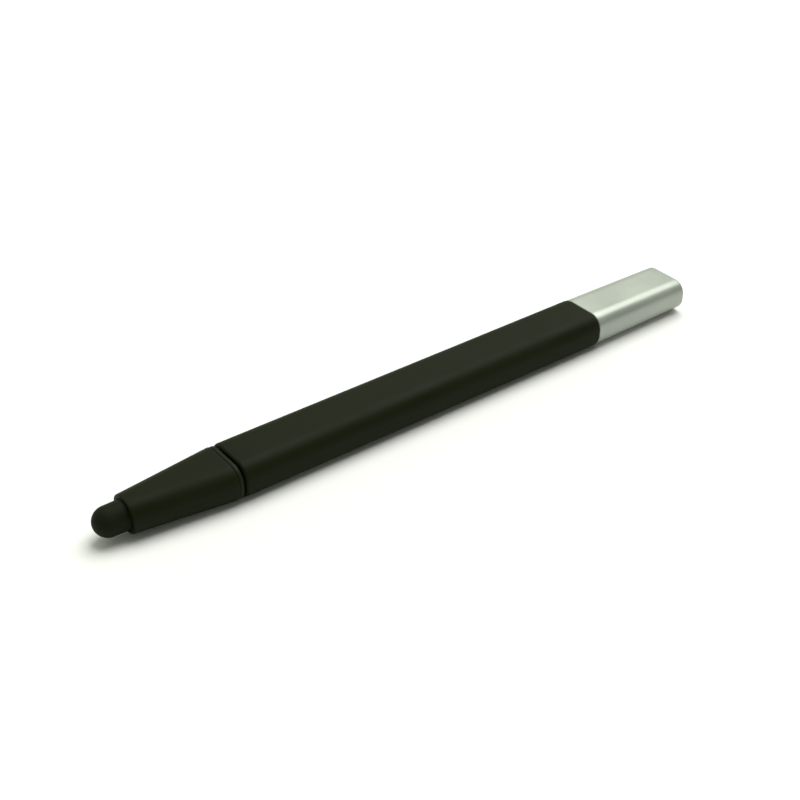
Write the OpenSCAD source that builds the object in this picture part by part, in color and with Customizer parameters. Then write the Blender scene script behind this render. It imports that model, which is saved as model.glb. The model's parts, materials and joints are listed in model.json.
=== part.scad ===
// Telescoping stylus for a personal digital assistant, shown closed and lying flat.
// It runs along X: the nib is at -X, the end cap is at +X, and the underside rests on Z = 0.
// Most pieces share the barrel's rounded-rectangle outline, drawn further in by an "inset".

/* [Overall outline] */
// Width of the barrel
barrel_width = 7.9; // [6.5:0.05:9.6]
// Height of the barrel, from the underside to the top face
barrel_height = 4.8; // [4.3:0.05:5.8]
// Radius of the barrel's long corners
barrel_corner = 2.05; // [1.6:0.05:2.1]
// Length of the black outer sleeve
sleeve_length = 55.9; // [46:0.1:68]
// Length of the silver end cap
cap_length = 16.5; // [13.5:0.1:20]
// Length of the tapered nose
nose_length = 12.9; // [12.7:0.1:16]
// How far the nib stands out of the nose
nib_reach = 3.85; // [3.2:0.05:4.7]
// Thickness of the collar behind the nose
collar_thickness = 0.5; // [0.3:0.05:0.6]
// Open gap between the collar and the sleeve's mouth when closed
mouth_gap = 0.35; // [0.3:0.05:0.6]

/* [Walls] */
// Wall of the outer sleeve
sleeve_wall = 0.6; // [0.5:0.05:0.7]
// Wall of the guide bush
bush_wall = 0.4; // [0.3:0.05:0.45]
// Wall of the inner tube
tube_wall = 0.3; // [0.2:0.05:0.35]
// Wall of the nose around the nib
nose_tip_wall = 0.3; // [0.2:0.05:0.35]
// Skin of the nib's dome
nib_skin = 0.5; // [0.4:0.05:0.6]
// Wall of the end cap at its mouth
cap_wall = 0.85; // [0.75:0.05:0.95]
// Thickness of the end cap's closed end
cap_end_wall = 1.2; // [0.8:0.1:1.6]

/* [Nose and nib] */
// Width of the nose's mouth
nose_mouth_width = 5; // [4.8:0.05:5.6]
// How far the top of the nose's mouth lies below the barrel's top
nose_top_drop = 0.06; // [0.01:0.01:0.1]
// How far the bottom of the nose's mouth lies above the underside
nose_bottom_rise = 0.26; // [0.1:0.01:0.3]
// Travel of the nib when it is pressed
nib_travel = 0.8; // [0.5:0.1:0.9]
// Depth of the nib inside the nose
nib_seat_depth = 2.3; // [1.8:0.1:2.4]
// Length of the nib's dome that stays hollow
dome_hollow = 2.15; // [1.8:0.05:2.4]
// Thickness of the carrier's flange
flange_thickness = 0.6; // [0.4:0.1:0.7]
// Length of the coil spring at rest
nib_spring_length = 2.4; // [2.2:0.1:2.5]
// Diameter of the coil spring's wire
spring_wire = 0.25; // [0.2:0.05:0.3]
// Radius of the carrier's stem
stem_radius = 0.8; // [0.7:0.05:0.9]
// Thickness of the nib guide's web
web_thickness = 1.0; // [0.7:0.1:1.1]
// Length of the stem behind the web
stem_tail = 1.9; // [1.4:0.1:2]
// Thickness of the retaining clip
clip_thickness = 0.25; // [0.2:0.05:0.3]

/* [Telescope] */
// Length of the guide bush
bush_length = 10; // [8:0.5:12]
// How far the bush lies inside the sleeve's mouth
bush_setback = 0.3; // [0.2:0.05:0.5]
// Length of the nose plug inside the nose
plug_nose_length = 3.6; // [3:0.1:3.7]
// Length of the nose plug's neck between the collar and the inner tube
neck_length = 0.9; // [0.6:0.1:2]
// Length of the nose plug inside the inner tube
plug_spigot_length = 6; // [5:0.5:7]
// Length of the slider's head
slider_head_length = 5.2; // [4.4:0.2:6.4]
// Length of the slider inside the inner tube
slider_spigot_length = 5; // [4.5:0.5:6]
// How far the friction springs are bowed
leaf_rise = 0.3; // [0.2:0.02:0.36]
// Width of the friction springs
leaf_width = 2.2; // [1.6:0.1:2.8]
// Thickness of the closing bumper
bumper_thickness = 0.6; // [0.4:0.1:1]
// Radius of the cross pins
pin_radius = 0.35; // [0.3:0.05:0.4]

/* [End cap] */
// Length of the cap plug inside the sleeve
plug_sleeve_length = 5.5; // [4.5:0.5:7]
// Length of the threaded boss inside the cap
boss_length = 5; // [4:0.5:6]
// Radius of the cap screw's thread
screw_radius = 0.6; // [0.5:0.05:0.65]
// Length of the cap screw's thread
screw_length = 9; // [8:0.5:10]
// Taper of the end cap on each side, over its length
cap_draft = 0.16; // [0.05:0.01:0.2]
// Rounding of the end cap's far edge
cap_edge = 0.45; // [0.3:0.05:0.6]

/* [Hidden] */

// Clearances
slide_clearance = 0.05;    // between sliding faces
stop_clearance = 0.05;     // left at an end stop
nib_clearance = 0.08;      // around the nib in the nose
spring_play = 0.02;        // at each end of the coil spring
leaf_clearance = 0.01;     // between a friction spring and the sleeve
pocket_play = 0.1;         // around a friction spring in its pocket, seen from above
snap_play = 0.02;          // around a snap rib in its groove
end_play = 0.1;            // between the nib guide and the nose plug
chamber_play = 0.15;       // around the clip and around the screw's head

// Edges and small details
sleeve_edge = 0.35;        // rounding of the sleeve's ends
nose_edge = 0.25;          // rounding of the nose's rear end
mouth_edge = 0.12;         // chamfer of the nose's mouth
mouth_flat = 0.04;         // flats at the top and the bottom of the nose's mouth
collar_inset = 0.08;       // the collar lies this far inside the outline
cap_inset = 0.05;          // the cap lies this far inside the outline
cap_lip = 0.15;            // rounding of the cap's mouth
smallest_corner = 0.2;     // least corner radius of an inset outline
pocket_inset = 1.2;        // outline of the nose's pocket and of the plug in it
guide_step = 0.06;         // the nib guide's bore is this much larger than the nib's
barb_depth = 0.2;          // depth of the groove that locks the dome on its carrier
barb_length = 0.5;         // length of that groove
barb_setback = 0.6;        // the groove lies this far inside the nose
mandrel_gap = 0.6;         // between the dome's hollow end and the carrier
clip_grip = 0.25;          // how deep the clip sits in the stem, and how far it stands out
snap_height = 0.12;        // how far a snap rib stands out
snap_length = 0.5;         // length of a snap rib along the stylus
snap_width = 3;            // width of a snap rib across the stylus
nose_snap_setback = 1.6;   // from the nose's rear to its snap ribs
bush_snap_setback = 2;     // from the bush's rear to its snap ribs
plug_snap_setback = 1.5;   // from the cap plug's front to its snap ribs
pin_pitch = 2;             // between the two pins of a pair
leaf_thickness = 0.15;     // of a friction spring
leaf_margin = 0.8;         // of the slider's head beyond each end of a friction spring
screw_head_height = 0.7;   // of the cap screw
screw_bottom_gap = 0.8;    // between the screw's tip and the cap's closed end
driver_slot = 0.25;        // width of the cross recess
driver_depth = 0.4;        // depth of the cross recess
slice = 0.01;              // thickness of a slice that a hull starts from
edge_step = 22.5;          // degrees between the slices of a rounded end
over = 1;                  // how far a cutting shape runs past the face it cuts
hull_fn = 32;              // smoothness of a hull's own children
round_fn = 64;             // smoothness of true curves

// Places along the stylus, counted from the nib's tip
nose_front = nib_reach;
nose_rear = nose_front + nose_length;
collar_rear = nose_rear + collar_thickness;
sleeve_front = collar_rear + mouth_gap;
sleeve_rear = sleeve_front + sleeve_length;
closed_length = sleeve_rear + cap_length;
nib_rear = nose_front + nib_seat_depth;
flange_rear = nib_rear + flange_thickness;
web_front = flange_rear + nib_spring_length;
web_rear = web_front + web_thickness;
stem_rear = web_rear + stem_tail;
barb_front = nose_front + barb_setback;
clip_front = web_rear + stop_clearance;
plug_front = nose_rear - plug_nose_length;
tube_front = collar_rear + neck_length;
bush_front = sleeve_front + bush_setback;
bush_rear = bush_front + bush_length;
cap_plug_front = sleeve_rear - plug_sleeve_length;
slider_rear = cap_plug_front - bumper_thickness - stop_clearance;
slider_front = slider_rear - slider_head_length;
slider_tip = slider_front - slider_spigot_length;
screw_tip = closed_length - cap_end_wall - screw_bottom_gap;
screw_seat = screw_tip - screw_length;
boss_front = closed_length - cap_end_wall - boss_length;
cap_plug_rear = boss_front - end_play;
plug_pins_middle = tube_front + plug_spigot_length / 2;
slider_pins_middle = slider_front - slider_spigot_length / 2;

// Insets of the nested outlines
bush_bore_inset = sleeve_wall + bush_wall;
tube_inset = bush_bore_inset + slide_clearance;
tube_bore_inset = tube_inset + tube_wall;
slider_inset = sleeve_wall + slide_clearance;
cap_bore_inset = cap_inset + cap_wall;

// Round sizes
axis_height = barrel_height / 2;
mouth_height = barrel_height - nose_top_drop - nose_bottom_rise;
nib_lift = (nose_bottom_rise - nose_top_drop) / 2;
mouth_corner = mouth_height / 2 - mouth_flat;
nib_bore_radius = mouth_height / 2 - nose_tip_wall;
nib_radius = nib_bore_radius - nib_clearance;
mandrel_radius = nib_radius - nib_skin;
barb_radius = mandrel_radius - barb_depth;
clip_groove_radius = stem_radius - clip_grip;
clip_radius = stem_radius + clip_grip;
tail_chamber_radius = clip_radius + chamber_play;
guide_radius = nib_bore_radius + guide_step;
spring_radius = (stem_radius + nib_bore_radius) / 2;
screw_head_radius = 1.75 * screw_radius;
screw_channel_radius = screw_head_radius + chamber_play;
boss_radius = 2 * screw_radius;

// Friction spring: an arc bowed over its span
leaf_span = slider_head_length - 2 * leaf_margin;
leaf_middle = (slider_front + slider_rear) / 2;
leaf_bend_radius = (leaf_span * leaf_span / 4 + leaf_rise * leaf_rise) / (2 * leaf_rise);
leaf_height = leaf_rise + leaf_thickness;

// Coil spring: turns, sides of the wire, and steps in a turn
spring_turns = 4;
wire_sides = 8;
turn_steps = 18;
coil_rise = nib_spring_length - spring_wire - 2 * spring_play;

// How far the nose and the inner tube pull out of the sleeve
slide_travel = slider_front - bush_rear - stop_clearance;

echo(closed_length = closed_length, slide_travel = slide_travel, nib_travel = nib_travel);

// A place counted from the nib's tip, as an X with the middle of the stylus at 0
function along(place) = place - closed_length / 2;

// Rounded rectangle: its X is the stylus's Y, and its Y is the stylus's Z
module rounded_rectangle(width, height, corner) {
    square([width - 2 * corner, height], center = true);
    square([width, height - 2 * corner], center = true);
    for (side = [-1, 1], level = [-1, 1])
        translate([side * (width / 2 - corner), level * (height / 2 - corner)])
            circle(r = corner);
}

// Outline of the barrel, inset by a distance
module outline(inset)
    rounded_rectangle(barrel_width - 2 * inset, barrel_height - 2 * inset,
                      max(barrel_corner - inset, smallest_corner));

// Outline of the nose's mouth, inset by a distance
module mouth_outline(inset)
    rounded_rectangle(nose_mouth_width - 2 * inset, mouth_height - 2 * inset,
                      mouth_corner - inset);

// Children drawn in the stylus's Y and Z, made solid between two places
module extent(from, to)
    translate([along(from), 0, axis_height])
        rotate([90, 0, 90])
            linear_extrude(to - from)
                children();

// Solid of the inset outline between two places
module slab(inset, from, to, $fn = round_fn)
    extent(from, to)
        outline(inset);

// Round bar on the stylus's axis between two places
module bar(radius, from, to, $fn = round_fn)
    translate([along(from), 0, axis_height])
        rotate([0, 90, 0])
            cylinder(r = radius, h = to - from);

// Four turned posts whose hull is an end rounded over; facing is -1 at the nib's side
module rounded_end(inset, face, radius, facing) {
    post_radius = barrel_corner - inset;
    half_section = [for (angle = [0:edge_step:90])
        [post_radius - radius * (1 - sin(angle)), radius * (1 - cos(angle))]];
    for (side = [-1, 1], level = [-1, 1])
        translate([along(face), side * (barrel_width / 2 - barrel_corner),
                   axis_height + level * (barrel_height / 2 - barrel_corner)])
            rotate([0, -90 * facing, 0])
                rotate_extrude($fn = hull_fn)
                    polygon(concat([[0, radius]], half_section));
}

// The barrel's section with another inset cut out of it
module tube(inset, bore_inset, from, to)
    difference() {
        slab(inset, from, to);
        slab(bore_inset, from - over, to + over);
    }

// Ribs on the top and the bottom of an inset outline; play makes the grooves they click into
module snap_ribs(inset, place, play = 0)
    for (face = [inset, barrel_height - inset])
        translate([along(place) - play, -snap_width / 2 - play, face - snap_height - play])
            cube([snap_length + 2 * play, snap_width + 2 * play, 2 * (snap_height + play)]);

// Two upright pins around a middle place, flush with the inner tube, or longer to drill for them
module cross_pins(middle, extra = 0)
    for (side = [-1, 1])
        translate([along(middle + side * pin_pitch / 2), 0, tube_inset - extra])
            cylinder(r = pin_radius, h = barrel_height - 2 * tube_inset + 2 * extra, $fn = round_fn);

// The nib, its guide and the nose's mouth lie this much above the middle of the barrel
module raised()
    translate([0, 0, nib_lift])
        children();

// The same shape on the underside
module underside()
    translate([0, 0, barrel_height])
        mirror([0, 0, 1])
            children();

// Ring that cuts a groove in a round bar
module groove(floor_radius, from, to)
    difference() {
        bar(floor_radius + over, from, to);
        bar(floor_radius, from - over, to + over);
    }

// Half section of the nib: its X is the radius, and its Y is the distance from the tip
module nib_half_section() {
    intersection() {
        translate([0, nib_radius])
            circle(r = nib_radius, $fn = round_fn);
        square(nib_radius);
    }
    translate([0, nib_radius])
        square([nib_radius, nib_rear - nib_radius]);
}

module nib_dome()
    color("#1d1f1b")
        raised() difference() {
            translate([along(0), 0, axis_height])
                rotate([0, 90, 0])
                    rotate_extrude($fn = round_fn)
                        nib_half_section();
            difference() {
                bar(mandrel_radius, dome_hollow, nib_rear + over);
                groove(barb_radius, barb_front, barb_front + barb_length);
            }
        }

module nib_carrier()
    color("#b9964f")
        raised() difference() {
            union() {
                bar(mandrel_radius, dome_hollow + mandrel_gap, nib_rear);
                bar(nib_radius, nib_rear, flange_rear);
                bar(stem_radius, flange_rear, stem_rear);
            }
            groove(barb_radius, barb_front, barb_front + barb_length);
            groove(clip_groove_radius, clip_front, clip_front + clip_thickness);
        }

// Point on the skin of the coil spring's wire: the turn so far, and the angle around the wire
function wire_point(turn, angle) =
    let (reach = spring_radius + spring_wire / 2 * cos(angle),
         rise = (spring_wire - spring_wire * sin(angle)) / 2 + coil_rise * turn / spring_turns)
    [along(flange_rear + spring_play) + rise,
     reach * cos(360 * turn),
     axis_height + reach * sin(360 * turn)];

module nib_spring() {
    rings = spring_turns * turn_steps;
    points = [for (i = [0:rings], j = [0:wire_sides - 1])
        wire_point(i / turn_steps, 360 * j / wire_sides)];
    sides = [for (i = [0:rings - 1], j = [0:wire_sides - 1])
        let (start = i * wire_sides, next = (j + 1) % wire_sides)
        [start + j, start + next, start + wire_sides + next, start + wire_sides + j]];
    ends = [[for (j = [wire_sides - 1:-1:0]) j],
            [for (j = [0:wire_sides - 1]) rings * wire_sides + j]];
    color("#c4c6c8")
        raised() polyhedron(points, concat(sides, ends));
}

module nib_guide()
    color("#d9d6cc")
        raised() difference() {
            bar(guide_radius, web_front, plug_front);
            bar(stem_radius + slide_clearance, web_front - over, web_rear + over);
            bar(tail_chamber_radius, web_rear, plug_front + over);
        }

module nib_clip()
    color("#c8c9c6")
        raised() difference() {
            bar(clip_radius, clip_front, clip_front + clip_thickness);
            bar(clip_groove_radius, clip_front - over, clip_front + clip_thickness + over);
            translate([along(clip_front) - over, -clip_groove_radius, axis_height])
                cube([clip_thickness + 2 * over, 2 * clip_groove_radius, clip_radius + over]);
        }

module nose_cone()
    color("#17181a")
        difference() {
            hull() {
                raised() {
                    extent(nose_front, nose_front + slice)
                        mouth_outline(mouth_edge, $fn = 2 * hull_fn);
                    extent(nose_front + mouth_edge, nose_front + mouth_edge + slice)
                        mouth_outline(0, $fn = 2 * hull_fn);
                }
                rounded_end(0, nose_rear, nose_edge, 1);
            }
            raised() bar(nib_bore_radius, nose_front - over, web_front + over);
            raised() bar(guide_radius, web_front, plug_front + over);
            slab(pocket_inset, plug_front, nose_rear + over);
            snap_ribs(pocket_inset, nose_rear - nose_snap_setback, snap_play);
        }

module collar_ring()
    color("#3b3c3a")
        tube(collar_inset, pocket_inset, nose_rear, collar_rear);

module nose_plug()
    color("#1b1c1e")
        difference() {
            union() {
                slab(pocket_inset, plug_front, collar_rear);
                snap_ribs(pocket_inset, nose_rear - nose_snap_setback);
                slab(tube_inset, collar_rear, tube_front);
                slab(tube_bore_inset, tube_front, tube_front + plug_spigot_length);
            }
            raised() bar(tail_chamber_radius, plug_front - over, plug_front + end_play);
            cross_pins(plug_pins_middle, over);
        }

module plug_pins()
    color("#bfc1c2")
        cross_pins(plug_pins_middle);

module inner_tube()
    color("#c9cbcc")
        difference() {
            tube(tube_inset, tube_bore_inset, tube_front, slider_front);
            cross_pins(plug_pins_middle, over);
            cross_pins(slider_pins_middle, over);
        }

// Bowed leaf that rubs on the top of the sleeve's bore
module friction_leaf()
    translate([along(leaf_middle), leaf_width / 2, barrel_height - sleeve_wall - leaf_clearance])
        rotate([90, 0, 0])
            linear_extrude(leaf_width)
                intersection() {
                    translate([0, -leaf_bend_radius])
                        difference() {
                            circle(r = leaf_bend_radius, $fn = round_fn);
                            circle(r = leaf_bend_radius - leaf_thickness, $fn = round_fn);
                        }
                    translate([-leaf_span / 2, -leaf_height])
                        square([leaf_span, leaf_height]);
                }

// Pocket for the leaf in the slider's head, with the leaf's ends on its floor
module leaf_pocket() {
    pocket_floor = barrel_height - sleeve_wall - leaf_clearance - leaf_height;
    translate([along(leaf_middle) - leaf_span / 2 - pocket_play,
               -leaf_width / 2 - pocket_play, pocket_floor])
        cube([leaf_span + 2 * pocket_play, leaf_width + 2 * pocket_play, barrel_height]);
}

module slider_block()
    color("#e3e1d8")
        difference() {
            union() {
                slab(slider_inset, slider_front, slider_rear);
                slab(tube_bore_inset, slider_tip, slider_front);
            }
            leaf_pocket();
            underside() leaf_pocket();
            cross_pins(slider_pins_middle, over);
        }

module slider_pins()
    color("#bfc1c2")
        cross_pins(slider_pins_middle);

module friction_spring_upper()
    color("#b0803c")
        friction_leaf();

module friction_spring_lower()
    color("#b0803c")
        underside() friction_leaf();

module outer_sleeve()
    color("#17181a")
        difference() {
            hull() {
                rounded_end(0, sleeve_front, sleeve_edge, -1);
                rounded_end(0, sleeve_rear, sleeve_edge, 1);
            }
            slab(sleeve_wall, sleeve_front - over, sleeve_rear + over);
            snap_ribs(sleeve_wall, bush_rear - bush_snap_setback, snap_play);
            snap_ribs(sleeve_wall, cap_plug_front + plug_snap_setback, snap_play);
        }

module guide_bush()
    color("#2a2b2d")
        difference() {
            union() {
                slab(sleeve_wall, bush_front, bush_rear);
                snap_ribs(sleeve_wall, bush_rear - bush_snap_setback);
            }
            slab(bush_bore_inset, bush_front - over, bush_rear + over);
        }

module closing_bumper()
    color("#3a3a3a")
        slab(slider_inset, cap_plug_front - bumper_thickness, cap_plug_front);

module cap_plug()
    color("#202123")
        difference() {
            union() {
                slab(sleeve_wall, cap_plug_front, sleeve_rear);
                slab(cap_bore_inset, sleeve_rear, cap_plug_rear);
                snap_ribs(sleeve_wall, cap_plug_front + plug_snap_setback);
            }
            bar(screw_channel_radius, cap_plug_front - over, screw_seat);
            bar(screw_radius + slide_clearance, screw_seat - over, cap_plug_rear + over);
        }

module cap_screw() {
    head_front = screw_seat - screw_head_height;
    color("#9fa1a3")
        difference() {
            union() {
                bar(screw_head_radius, head_front, screw_seat);
                bar(screw_radius, screw_seat, screw_tip);
            }
            for (turn = [0, 90])
                translate([along(head_front), 0, axis_height])
                    rotate([turn, 0, 0])
                        cube([2 * driver_depth, driver_slot, 1.4 * screw_head_radius], center = true);
        }
}

module end_cap()
    color("#c6c8c3")
        difference() {
            union() {
                difference() {
                    hull() {
                        rounded_end(cap_inset, sleeve_rear, cap_lip, -1);
                        rounded_end(cap_inset + cap_draft, closed_length, cap_edge, 1);
                    }
                    slab(cap_bore_inset, sleeve_rear - over, closed_length - cap_end_wall);
                }
                bar(boss_radius, boss_front, closed_length - cap_end_wall / 2);
            }
            bar(screw_radius, boss_front - over, screw_tip + end_play);
        }

nib_dome();
nib_carrier();
nib_spring();
nib_guide();
nib_clip();
nose_cone();
collar_ring();
nose_plug();
plug_pins();
inner_tube();
slider_block();
slider_pins();
friction_spring_upper();
friction_spring_lower();
outer_sleeve();
guide_bush();
closing_bumper();
cap_plug();
cap_screw();
end_cap();
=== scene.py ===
import json
import math

import bmesh
import bpy
from mathutils import Matrix, Vector


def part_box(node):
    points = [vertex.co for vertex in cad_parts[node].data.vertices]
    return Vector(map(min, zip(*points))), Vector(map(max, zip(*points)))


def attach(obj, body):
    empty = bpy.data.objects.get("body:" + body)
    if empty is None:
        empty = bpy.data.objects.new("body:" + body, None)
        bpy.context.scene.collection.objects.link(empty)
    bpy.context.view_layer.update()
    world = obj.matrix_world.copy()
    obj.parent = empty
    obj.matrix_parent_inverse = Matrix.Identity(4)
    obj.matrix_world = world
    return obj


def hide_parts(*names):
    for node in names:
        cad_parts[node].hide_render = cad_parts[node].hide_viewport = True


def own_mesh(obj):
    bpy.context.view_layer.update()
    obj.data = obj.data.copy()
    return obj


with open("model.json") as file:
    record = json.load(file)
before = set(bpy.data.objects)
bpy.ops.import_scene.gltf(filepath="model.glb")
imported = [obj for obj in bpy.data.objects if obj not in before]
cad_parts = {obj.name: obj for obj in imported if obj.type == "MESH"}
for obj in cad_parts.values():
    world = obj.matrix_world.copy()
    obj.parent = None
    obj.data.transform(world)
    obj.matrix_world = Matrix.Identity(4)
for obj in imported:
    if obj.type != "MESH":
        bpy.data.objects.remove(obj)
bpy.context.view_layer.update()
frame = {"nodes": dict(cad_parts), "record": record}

MM = 0.001

# ---------------------------------------------------------------- camera
# The camera looks down on the stylus from its near side, with the nib closest.
CAMERA_YAW = math.radians(37.13)
CAMERA_PITCH = math.radians(34.02)
CAMERA_DISTANCE = 178 * MM
CAMERA_LEFT = 1.95 * MM
CAMERA_UP = 0.97 * MM
CAMERA_LENS = 62.8
SENSOR_WIDTH = 36
CLIP_START = 10 * MM


def add_camera():
    """A camera aimed beside the middle of the stylus, on the surface that it lies on."""
    forward = Vector((
        math.sin(CAMERA_YAW) * math.cos(CAMERA_PITCH),
        math.cos(CAMERA_YAW) * math.cos(CAMERA_PITCH),
        -math.sin(CAMERA_PITCH),
    ))
    right = Vector((math.cos(CAMERA_YAW), -math.sin(CAMERA_YAW), 0))
    up = right.cross(forward)
    data = bpy.data.cameras.new("camera")
    data.lens = CAMERA_LENS
    data.sensor_width = SENSOR_WIDTH
    data.clip_start = CLIP_START
    camera = bpy.data.objects.new("camera", data)
    bpy.context.scene.collection.objects.link(camera)
    place = -forward * CAMERA_DISTANCE - right * CAMERA_LEFT + up * CAMERA_UP
    turn = Matrix((right, up, -forward)).transposed().to_4x4()
    camera.matrix_world = Matrix.Translation(place) @ turn
    bpy.context.scene.camera = camera


add_camera()

# ---------------------------------------------------------------- sizes from the frame
sleeve_low, sleeve_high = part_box("outer_sleeve")
nose_low, nose_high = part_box("nose_cone")
nib_low, nib_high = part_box("nib_dome")
cap_low, cap_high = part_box("end_cap")
collar_low, collar_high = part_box("collar_ring")
spring_low, spring_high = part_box("nib_spring")

HALF_WIDTH = (sleeve_high.y - sleeve_low.y) / 2
HALF_HEIGHT = (sleeve_high.z - sleeve_low.z) / 2
AXIS = (sleeve_high.z + sleeve_low.z) / 2
CORNER = 2.05 * MM  # radius of the barrel's long corners, as in the CAD
LEAST_CORNER = 0.2 * MM
NIB_RADIUS = (nib_high.y - nib_low.y) / 2
NIB_AXIS = (nib_high.z + nib_low.z) / 2

# ---------------------------------------------------------------- ring-built shells
ARC_STEPS = 22
FLAT_STEPS = 16
SIDE_STEPS = 8


def ring_angles():
    """Polar angles of a ring's points, dense round the corners of the barrel's outline.

    Every ring has the same angles, so the rings join into quads whatever their section is.
    """
    core_y = HALF_WIDTH - CORNER
    core_z = HALF_HEIGHT - CORNER
    points = []
    for quarter in range(4):
        side_y = 1 if quarter in (0, 3) else -1
        side_z = 1 if quarter < 2 else -1
        for i in range(ARC_STEPS + 1):
            turn = math.radians(90) * (quarter + i / ARC_STEPS)
            points.append((side_y * core_y + CORNER * math.cos(turn),
                           side_z * core_z + CORNER * math.sin(turn)))
        along_top = quarter in (0, 2)
        steps = FLAT_STEPS if along_top else SIDE_STEPS
        last = points[-1]
        if along_top:
            step = (-2 * side_y * core_y / steps, 0)
        else:
            step = (0, -2 * side_z * core_z / steps)
        for i in range(1, steps):
            points.append((last[0] + i * step[0], last[1] + i * step[1]))
    return [math.atan2(z, y) for y, z in points]


ANGLES = ring_angles()


def outline_point(angle, half_width, half_height, corner):
    """Where a ray from the middle meets a rounded rectangle."""
    y, z = abs(math.cos(angle)), abs(math.sin(angle))
    core_y, core_z = half_width - corner, half_height - corner
    if y > 0 and half_width * z / y <= core_z:
        reach = half_width / y
    elif z > 0 and half_height * y / z <= core_y:
        reach = half_height / z
    else:
        middle = y * core_y + z * core_z
        reach = middle + math.sqrt(max(middle ** 2 - core_y ** 2 - core_z ** 2 + corner ** 2, 0))
    return reach * math.cos(angle), reach * math.sin(angle)


def ring(x, inset, section=(HALF_WIDTH, HALF_HEIGHT, CORNER), lift=0):
    """A ring of points round a section, given as its half width, half height and corner radius.

    lift raises its middle above the middle of the barrel.
    """
    half_width, half_height, corner = section
    corner = max(corner - inset, min(LEAST_CORNER, corner))
    flat = [outline_point(a, half_width - inset, half_height - inset, corner) for a in ANGLES]
    return [Vector((x, y, AXIS + lift + z)) for y, z in flat]


def rounded(face, inset, radius, facing, steps=7):
    """(x, inset) pairs over a rounded edge, from the flat face to the side. facing is -1 or 1."""
    pairs = []
    for i in range(steps + 1):
        turn = math.radians(90) * i / steps
        pairs.append((face - facing * radius * (1 - math.sin(math.radians(90) - turn)),
                      inset + radius * (1 - math.sin(turn))))
    return pairs


def between(start, end, count):
    """Pairs evenly spaced strictly between two pairs."""
    return [tuple(a + (b - a) * i / (count + 1) for a, b in zip(start, end))
            for i in range(1, count + 1)]


def build(name, rings, loop=False, close_start=False, close_end=False, sharp=40):
    """A mesh of quads over rings of equal length, optionally a loop or closed by a face at an end."""
    mesh = bpy.data.meshes.new(name)
    bm = bmesh.new()
    rows = [[bm.verts.new(p) for p in points] for points in rings]
    count = len(rows[0])
    pairs = list(zip(rows, rows[1:])) + ([(rows[-1], rows[0])] if loop else [])
    for a, b in pairs:
        for i in range(count):
            j = (i + 1) % count
            bm.faces.new((a[i], a[j], b[j], b[i]))
    if close_start:
        bm.faces.new(rows[0][::-1])
    if close_end:
        bm.faces.new(rows[-1])
    bmesh.ops.recalc_face_normals(bm, faces=bm.faces)
    bm.to_mesh(mesh)
    bm.free()
    mesh.shade_smooth()
    mesh.set_sharp_from_angle(angle=math.radians(sharp))
    piece = bpy.data.objects.new(name, mesh)
    bpy.context.scene.collection.objects.link(piece)
    return piece


# ---------------------------------------------------------------- materials
CLOUD_SIZE = 6 * MM
GRAIN_SHARE = 0.35
MIX_LOW, MIX_HIGH = 0.35, 0.65  # of the mixed noise, where dark and light are reached
WEAR_SHEEN_LOW, WEAR_SHEEN_HIGH = 0.52, 0.62  # of pointiness, where the edge wear and the painted edge highlight start and are full
RELIEF_DEPTH = 0.02 * MM


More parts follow.
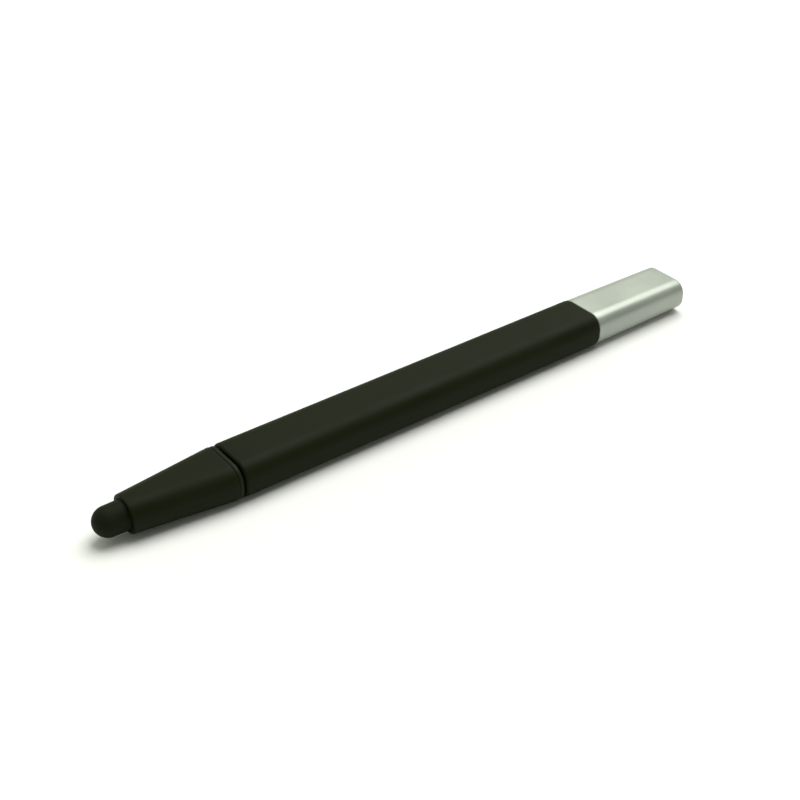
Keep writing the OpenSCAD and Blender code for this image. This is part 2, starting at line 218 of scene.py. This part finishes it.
def finish(slot, dark, light, rough, metallic=0.0, specular=0.5, grain=0.12, stretch=1.0,
           bump=0.12, wear_and_sheen=0.0):
    """One material: colour and roughness vary with a slow cloud and a fine grain, with bump.

    rough is the roughness where the colour is dark and where it is light. grain is a size in
    millimetres, and stretch draws it out along the stylus. The wear and sheen amount lightens the
    convex edges in the colour: partly real edge wear, partly a painted highlight along the edges.
    """
    material = bpy.data.materials.new(slot)
    material.use_nodes = True
    tree = material.node_tree
    nodes, links = tree.nodes, tree.links
    shader = nodes["Principled BSDF"]
    shader.inputs["Metallic"].default_value = metallic
    shader.inputs["Specular IOR Level"].default_value = specular

    place = nodes.new("ShaderNodeTexCoord")
    scale = nodes.new("ShaderNodeMapping")
    scale.inputs["Scale"].default_value = (1 / stretch, 1, 1)
    links.new(place.outputs["Object"], scale.inputs["Vector"])

    slow = nodes.new("ShaderNodeTexNoise")
    slow.inputs["Scale"].default_value = 1 / CLOUD_SIZE
    slow.inputs["Detail"].default_value = 4
    links.new(place.outputs["Object"], slow.inputs["Vector"])
    fine = nodes.new("ShaderNodeTexNoise")
    fine.inputs["Scale"].default_value = 1 / (grain * MM)
    fine.inputs["Detail"].default_value = 3
    links.new(scale.outputs["Vector"], fine.inputs["Vector"])

    both = nodes.new("ShaderNodeMath")
    both.operation = "MULTIPLY_ADD"
    both.inputs[1].default_value = GRAIN_SHARE
    links.new(fine.outputs["Fac"], both.inputs[0])
    slow_share = nodes.new("ShaderNodeMath")
    slow_share.operation = "MULTIPLY"
    slow_share.inputs[1].default_value = 1 - GRAIN_SHARE
    links.new(slow.outputs["Fac"], slow_share.inputs[0])
    links.new(slow_share.outputs[0], both.inputs[2])

    colour = nodes.new("ShaderNodeValToRGB")
    colour.color_ramp.elements[0].position = MIX_LOW
    colour.color_ramp.elements[0].color = (*dark, 1)
    colour.color_ramp.elements[1].position = MIX_HIGH
    colour.color_ramp.elements[1].color = (*light, 1)
    links.new(both.outputs[0], colour.inputs["Fac"])

    roughness = nodes.new("ShaderNodeMapRange")
    roughness.inputs["From Min"].default_value = MIX_LOW
    roughness.inputs["From Max"].default_value = MIX_HIGH
    roughness.inputs["To Min"].default_value = rough[0]
    roughness.inputs["To Max"].default_value = rough[1]
    links.new(both.outputs[0], roughness.inputs["Value"])

    # Painted highlight on the convex edges, together with real edge wear: the base colour is
    # lightened where pointiness is high.
    if wear_and_sheen > 0:
        edge = nodes.new("ShaderNodeNewGeometry")
        wear_sheen_mask = nodes.new("ShaderNodeMapRange")
        wear_sheen_mask.inputs["From Min"].default_value = WEAR_SHEEN_LOW
        wear_sheen_mask.inputs["From Max"].default_value = WEAR_SHEEN_HIGH
        wear_sheen_mask.inputs["To Max"].default_value = wear_and_sheen
        links.new(edge.outputs["Pointiness"], wear_sheen_mask.inputs["Value"])
        wear_sheen_mix = nodes.new("ShaderNodeMix")
        wear_sheen_mix.data_type = "RGBA"
        wear_sheen_mix.inputs["B"].default_value = (*[min(1, 2.2 * c + 0.01) for c in light], 1)
        links.new(wear_sheen_mask.outputs["Result"], wear_sheen_mix.inputs["Factor"])
        links.new(colour.outputs["Color"], wear_sheen_mix.inputs["A"])
        links.new(wear_sheen_mix.outputs["Result"], shader.inputs["Base Color"])
    else:
        links.new(colour.outputs["Color"], shader.inputs["Base Color"])
    links.new(roughness.outputs["Result"], shader.inputs["Roughness"])

    relief = nodes.new("ShaderNodeBump")
    relief.inputs["Strength"].default_value = bump
    relief.inputs["Distance"].default_value = RELIEF_DEPTH
    links.new(fine.outputs["Fac"], relief.inputs["Height"])
    links.new(relief.outputs["Normal"], shader.inputs["Normal"])
    return material


# The wear amounts below lighten the convex edges in the colour, as edge wear and as a painted edge
# highlight.
SATIN_BLACK = dict(dark=(0.0068, 0.0094, 0.0016), light=(0.0096, 0.0126, 0.0032),
                   rough=(0.5, 0.62), specular=0.08, grain=0.1, bump=0.2, wear_and_sheen=0.1)

FINISHES = {
    "nib_rubber": dict(dark=(0.0055, 0.0078, 0.0014), light=(0.0082, 0.0108, 0.0030),
                       rough=(0.6, 0.72), specular=0.10, grain=0.08, bump=0.25),
    "brass": dict(dark=(0.52, 0.36, 0.13), light=(0.64, 0.46, 0.19), rough=(0.22, 0.34),
                  metallic=1, grain=0.05, stretch=0.2, bump=0.1),
    "spring_steel": dict(dark=(0.52, 0.53, 0.54), light=(0.64, 0.65, 0.66), rough=(0.2, 0.3),
                         metallic=1, grain=0.04, bump=0.08),
    "pale_plastic": dict(dark=(0.66, 0.64, 0.58), light=(0.74, 0.72, 0.66), rough=(0.4, 0.5),
                         grain=0.1, bump=0.08),
    "bronze": dict(dark=(0.42, 0.23, 0.08), light=(0.56, 0.33, 0.13), rough=(0.25, 0.38),
                   metallic=1, grain=0.05, stretch=8, bump=0.1),
    "nose_black": SATIN_BLACK,
    "collar_grey": dict(dark=(0.0070, 0.0094, 0.0024), light=(0.0100, 0.0124, 0.0042),
                        rough=(0.5, 0.6), specular=0.12, grain=0.1, bump=0.15, wear_and_sheen=0.1),
    "plug_black": dict(dark=(0.010, 0.011, 0.008), light=(0.016, 0.017, 0.013),
                       rough=(0.5, 0.62), specular=0.25, grain=0.12, bump=0.15),
    "tube_steel": dict(dark=(0.50, 0.51, 0.52), light=(0.62, 0.63, 0.64), rough=(0.18, 0.3),
                       metallic=1, grain=0.04, stretch=60, bump=0.12),
    "sleeve_black": SATIN_BLACK,
    "bush_black": dict(dark=(0.010, 0.011, 0.008), light=(0.015, 0.016, 0.012),
                       rough=(0.45, 0.55), specular=0.25, grain=0.1, bump=0.1),
    "bumper_rubber": dict(dark=(0.012, 0.012, 0.011), light=(0.018, 0.018, 0.016),
                          rough=(0.7, 0.85), specular=0.3, grain=0.15, bump=0.2),
    "screw_steel": dict(dark=(0.40, 0.41, 0.42), light=(0.52, 0.53, 0.54), rough=(0.25, 0.4),
                        metallic=1, grain=0.05, bump=0.12),
    "cap_silver": dict(dark=(0.34, 0.37, 0.33), light=(0.42, 0.45, 0.405), rough=(0.37, 0.45),
                       metallic=0.5, grain=0.07, bump=0.08, wear_and_sheen=0.1),
}
MATERIALS = {slot: finish(slot, **look) for slot, look in FINISHES.items()}


def dress(node, material):
    """Gives a CAD node its material."""
    slots = frame["nodes"][node].data.materials
    slots.clear()
    slots.append(material)


for subpart in frame["record"]["subparts"]:
    dress(subpart["node"], MATERIALS[subpart["material_slot"]])


def stand_in(piece, body, node, slot):
    """The piece stands for a CAD node, rides on its body and takes the slot's finish."""
    piece.data.materials.append(MATERIALS[slot])
    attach(piece, body)
    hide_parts(node)
    return piece


# ---------------------------------------------------------------- outer sleeve
SLEEVE_WALL = 0.6 * MM
SLEEVE_EDGE = 0.35 * MM


def make_sleeve():
    """A tube of even wall with both outer edges rounded."""
    front, rear = sleeve_low.x, sleeve_high.x
    outer = rounded(front, 0, SLEEVE_EDGE, -1)
    back = rounded(rear, 0, SLEEVE_EDGE, 1)[::-1]
    bore = [(rear, SLEEVE_WALL), (rear - SLEEVE_EDGE, SLEEVE_WALL),
            (front + SLEEVE_EDGE, SLEEVE_WALL), (front, SLEEVE_WALL)]
    pairs = outer + between(outer[-1], back[0], 24) + back + bore
    return build("sleeve_shell", [ring(x, inset) for x, inset in pairs], loop=True)


stand_in(make_sleeve(), "barrel", "outer_sleeve", "sleeve_black")

# ---------------------------------------------------------------- end cap
CAP_INSET = 0.05 * MM
CAP_DRAFT = 0.16 * MM
CAP_LIP = 0.15 * MM
CAP_EDGE = 0.45 * MM
CAP_BORE = 0.9 * MM
CAP_END = 1.2 * MM
CAP_CROWN = 0.05 * MM
CROWN_FLAT = 0.1 * MM  # half height of the flat left in the middle of the crown
CROWN_STEPS = 8


def make_cap():
    """A cup, slightly drawn in towards a rounded end with a faint crown."""
    front, rear = cap_low.x, cap_high.x
    lip = rounded(front, CAP_INSET, CAP_LIP, -1)
    edge = rounded(rear - CAP_CROWN, CAP_INSET + CAP_DRAFT, CAP_EDGE, 1, steps=10)[::-1]
    side = between(lip[-1], edge[0], 10)
    inset = edge[-1][1]
    middle = HALF_HEIGHT - CROWN_FLAT
    crown = []
    for i in range(1, CROWN_STEPS + 1):
        share = i / CROWN_STEPS
        crown.append((rear - CAP_CROWN * (1 - share) ** 2, inset + (middle - inset) * share))
    outer = [ring(x, i) for x, i in lip + side + edge + crown]
    inner = [ring(front, CAP_BORE), ring(rear - CAP_END, CAP_BORE)]
    return build("cap_shell", inner[::-1] + outer, close_start=True, close_end=True)


stand_in(make_cap(), "barrel", "end_cap", "cap_silver")

# ---------------------------------------------------------------- nose
NOSE_TOP_DROP = 0.06 * MM
NOSE_BOTTOM_RISE = 0.26 * MM
NOSE_WALL = 0.3 * MM
NOSE_EDGE = 0.25 * MM
MOUTH_EDGE = 0.14 * MM
MOUTH_LIP = 0.05 * MM
MOUTH_FLAT = 0.04 * MM  # half height of the flat at each side of the mouth
MOUTH_HALF_WIDTH = 2.5 * MM
MOUTH_HALF_HEIGHT = HALF_HEIGHT - (NOSE_TOP_DROP + NOSE_BOTTOM_RISE) / 2
MOUTH_LIFT = (NOSE_BOTTOM_RISE - NOSE_TOP_DROP) / 2
MOUTH_CORNER = MOUTH_HALF_HEIGHT - MOUTH_FLAT
NOSE_BORE = MOUTH_HALF_HEIGHT - NOSE_WALL
NOSE_BORE_DEPTH = 6 * MM
POCKET = 1.2 * MM


def nose_section(share):
    """Half width, half height and corner of the nose, from its mouth (0) to its rear (1)."""
    return (MOUTH_HALF_WIDTH + (HALF_WIDTH - MOUTH_HALF_WIDTH) * share,
            MOUTH_HALF_HEIGHT + (HALF_HEIGHT - MOUTH_HALF_HEIGHT) * share,
            MOUTH_CORNER + (CORNER - MOUTH_CORNER) * share)


def make_nose():
    """A taper from the round mouth to the barrel's outline, with a round bore and a rear pocket."""
    front, rear = nose_low.x, nose_high.x
    deep = front + NOSE_BORE_DEPTH
    rings = [ring(x, 0, (radius,) * 3, MOUTH_LIFT)
             for x, radius in ((deep, NOSE_BORE), (front + MOUTH_LIP, NOSE_BORE),
                               (front, NOSE_BORE + MOUTH_LIP))]
    mouth = rounded(front, 0, MOUTH_EDGE, -1)
    edge = rounded(rear, 0, NOSE_EDGE, 1)[::-1]
    for x, inset in mouth + between(mouth[-1], edge[0], 24) + edge:
        share = (x - front) / (rear - front)
        rings.append(ring(x, inset, nose_section(share), MOUTH_LIFT * (1 - share)))
    rings.append(ring(rear, POCKET))
    rings.append(ring(deep, POCKET))
    return build("nose_shell", rings, loop=True)


stand_in(make_nose(), "inner_stage", "nose_cone", "nose_black")

# ---------------------------------------------------------------- collar
COLLAR_INSET = 0.08 * MM
COLLAR_EDGE = 0.08 * MM


def make_collar():
    """A thin band with broken edges, between the nose and the parting groove."""
    front, rear = collar_low.x, collar_high.x
    outer = rounded(front, COLLAR_INSET, COLLAR_EDGE, -1, steps=4)
    back = rounded(rear, COLLAR_INSET, COLLAR_EDGE, 1, steps=4)[::-1]
    pairs = outer + back + [(rear, POCKET), (front, POCKET)]
    return build("collar_band", [ring(x, inset) for x, inset in pairs], loop=True)


stand_in(make_collar(), "inner_stage", "collar_ring", "collar_grey")

# ---------------------------------------------------------------- nib
NIB_FLARE = 0.03 * MM
NIB_SKIN = 0.5 * MM
NIB_HOLLOW = 2.15 * MM
DOME_STEPS = 24
FLARE_STEPS = 8
CIRCLE_SIDES = 64


def circle(x, radius):
    """A ring of points round the nib's axis."""
    turns = [math.tau * i / CIRCLE_SIDES for i in range(CIRCLE_SIDES)]
    return [Vector((x, radius * math.cos(t), NIB_AXIS + radius * math.sin(t))) for t in turns]


def make_nib():
    """A hollow dome that widens slightly towards the nose's mouth."""
    tip, rear = nib_low.x, nib_high.x
    mouth = nose_low.x
    rings = []
    for i in range(1, DOME_STEPS + 1):
        turn = math.radians(90) * i / DOME_STEPS
        rings.append(circle(tip + NIB_RADIUS * (1 - math.cos(turn)), NIB_RADIUS * math.sin(turn)))
    waist = tip + NIB_RADIUS
    for i in range(1, FLARE_STEPS + 1):
        share = i / FLARE_STEPS
        rings.append(circle(waist + (mouth - waist) * share, NIB_RADIUS + NIB_FLARE * share ** 2))
    rings.append(circle(rear, NIB_RADIUS + NIB_FLARE))
    rings.append(circle(rear, NIB_RADIUS - NIB_SKIN))
    rings.append(circle(tip + NIB_HOLLOW, NIB_RADIUS - NIB_SKIN))
    return build("nib_skin", rings, close_start=True, close_end=True)


stand_in(make_nib(), "nib", "nib_dome", "nib_rubber")

# ---------------------------------------------------------------- coil spring behind the nib
SPRING_WIRE = 0.25 * MM
SPRING_TURNS = 4
TURN_STEPS = 36
WIRE_SIDES = 12


def make_spring():
    """A round wire wound about the nib's axis."""
    wire = SPRING_WIRE / 2
    coil = (spring_high.y - spring_low.y) / 2 - wire
    first, last = spring_low.x + wire, spring_high.x - wire
    rings = []
    for i in range(SPRING_TURNS * TURN_STEPS + 1):
        turn = math.tau * i / TURN_STEPS
        x = first + (last - first) * i / (SPRING_TURNS * TURN_STEPS)
        around = []
        for j in range(WIRE_SIDES):
            side = math.tau * j / WIRE_SIDES
            reach = coil + wire * math.cos(side)
            around.append(Vector((x + wire * math.sin(side), reach * math.cos(turn),
                                  NIB_AXIS + reach * math.sin(turn))))
        rings.append(around)
    return build("coil_spring", rings, close_start=True, close_end=True, sharp=60)


spring = stand_in(make_spring(), "inner_stage", "nib_spring", "spring_steel")
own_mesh(spring)


# ---------------------------------------------------------------- studio
FLOOR_HALF_SIZE = 3
FLOOR_GREY = 0.94
KEY_SIDE = Vector((0.42, 0.12, 0.90)).normalized()
KEY_DISTANCE = 2.4
KEY_SIZE = 2.0
KEY_RADIANCE = 4.7
KEY_COLOUR = (1.0, 1.0, 0.97)
NEAR_COLOUR = (0.18, 0.19, 0.16, 1)
FAR_COLOUR = (0.63, 0.67, 0.57, 1)
HORIZON_COLOUR = (0.96, 0.97, 0.95, 1)
NEAR_TO_FAR = 0.35
HORIZON_LOW, HORIZON_HIGH = 0.05, 0.15


def add_floor():
    mesh = bpy.data.meshes.new("floor")
    bm = bmesh.new()
    bmesh.ops.create_grid(bm, x_segments=1, y_segments=1, size=FLOOR_HALF_SIZE)
    bm.to_mesh(mesh)
    bm.free()
    floor = bpy.data.objects.new("floor", mesh)
    bpy.context.scene.collection.objects.link(floor)
    material = bpy.data.materials.new("floor")
    material.use_nodes = True
    shader = material.node_tree.nodes["Principled BSDF"]
    shader.inputs["Base Color"].default_value = (FLOOR_GREY, FLOOR_GREY, FLOOR_GREY, 1)
    shader.inputs["Roughness"].default_value = 0.9
    shader.inputs["Specular IOR Level"].default_value = 0.1
    mesh.materials.append(material)


def add_key():
    """A square softbox overhead, slightly to the right and the rear, aimed at the middle."""
    data = bpy.data.lights.new("key", "AREA")
    data.shape = "RECTANGLE"
    data.size = data.size_y = KEY_SIZE
    data.energy = KEY_RADIANCE * math.pi * KEY_SIZE * KEY_SIZE
    data.color = KEY_COLOUR
    light = bpy.data.objects.new("key", data)
    bpy.context.scene.collection.objects.link(light)
    light.location = KEY_SIDE * KEY_DISTANCE
    light.rotation_euler = (-light.location).to_track_quat("-Z", "Y").to_euler()


def add_world():
    """A pale room beyond the stylus, a dark side behind the camera, and a pale horizon."""
    world = bpy.data.worlds.new("surround")
    world.use_nodes = True
    bpy.context.scene.world = world
    nodes, links = world.node_tree.nodes, world.node_tree.links
    direction = nodes.new("ShaderNodeTexCoord")
    towards = nodes.new("ShaderNodeVectorMath")
    towards.operation = "DOT_PRODUCT"
    towards.inputs[1].default_value = (0, 1, 0)
    links.new(direction.outputs["Generated"], towards.inputs[0])
    share = nodes.new("ShaderNodeMapRange")
    share.interpolation_type = "SMOOTHSTEP"
    share.inputs["From Min"].default_value = -NEAR_TO_FAR
    share.inputs["From Max"].default_value = NEAR_TO_FAR
    links.new(towards.outputs["Value"], share.inputs["Value"])
    mixed = nodes.new("ShaderNodeMix")
    mixed.data_type = "RGBA"
    mixed.inputs["A"].default_value = NEAR_COLOUR
    mixed.inputs["B"].default_value = FAR_COLOUR
    links.new(share.outputs["Result"], mixed.inputs["Factor"])
    split = nodes.new("ShaderNodeSeparateXYZ")
    links.new(direction.outputs["Generated"], split.inputs["Vector"])
    height = nodes.new("ShaderNodeMapRange")
    height.interpolation_type = "SMOOTHSTEP"
    height.inputs["From Min"].default_value = HORIZON_LOW
    height.inputs["From Max"].default_value = HORIZON_HIGH
    links.new(split.outputs["Z"], height.inputs["Value"])
    horizon = nodes.new("ShaderNodeMix")
    horizon.data_type = "RGBA"
    horizon.inputs["A"].default_value = HORIZON_COLOUR
    links.new(height.outputs["Result"], horizon.inputs["Factor"])
    links.new(mixed.outputs["Result"], horizon.inputs["B"])
    links.new(horizon.outputs["Result"], nodes["Background"].inputs["Color"])


add_floor()
add_key()
add_world()
bpy.context.scene.view_settings.view_transform = "Standard"
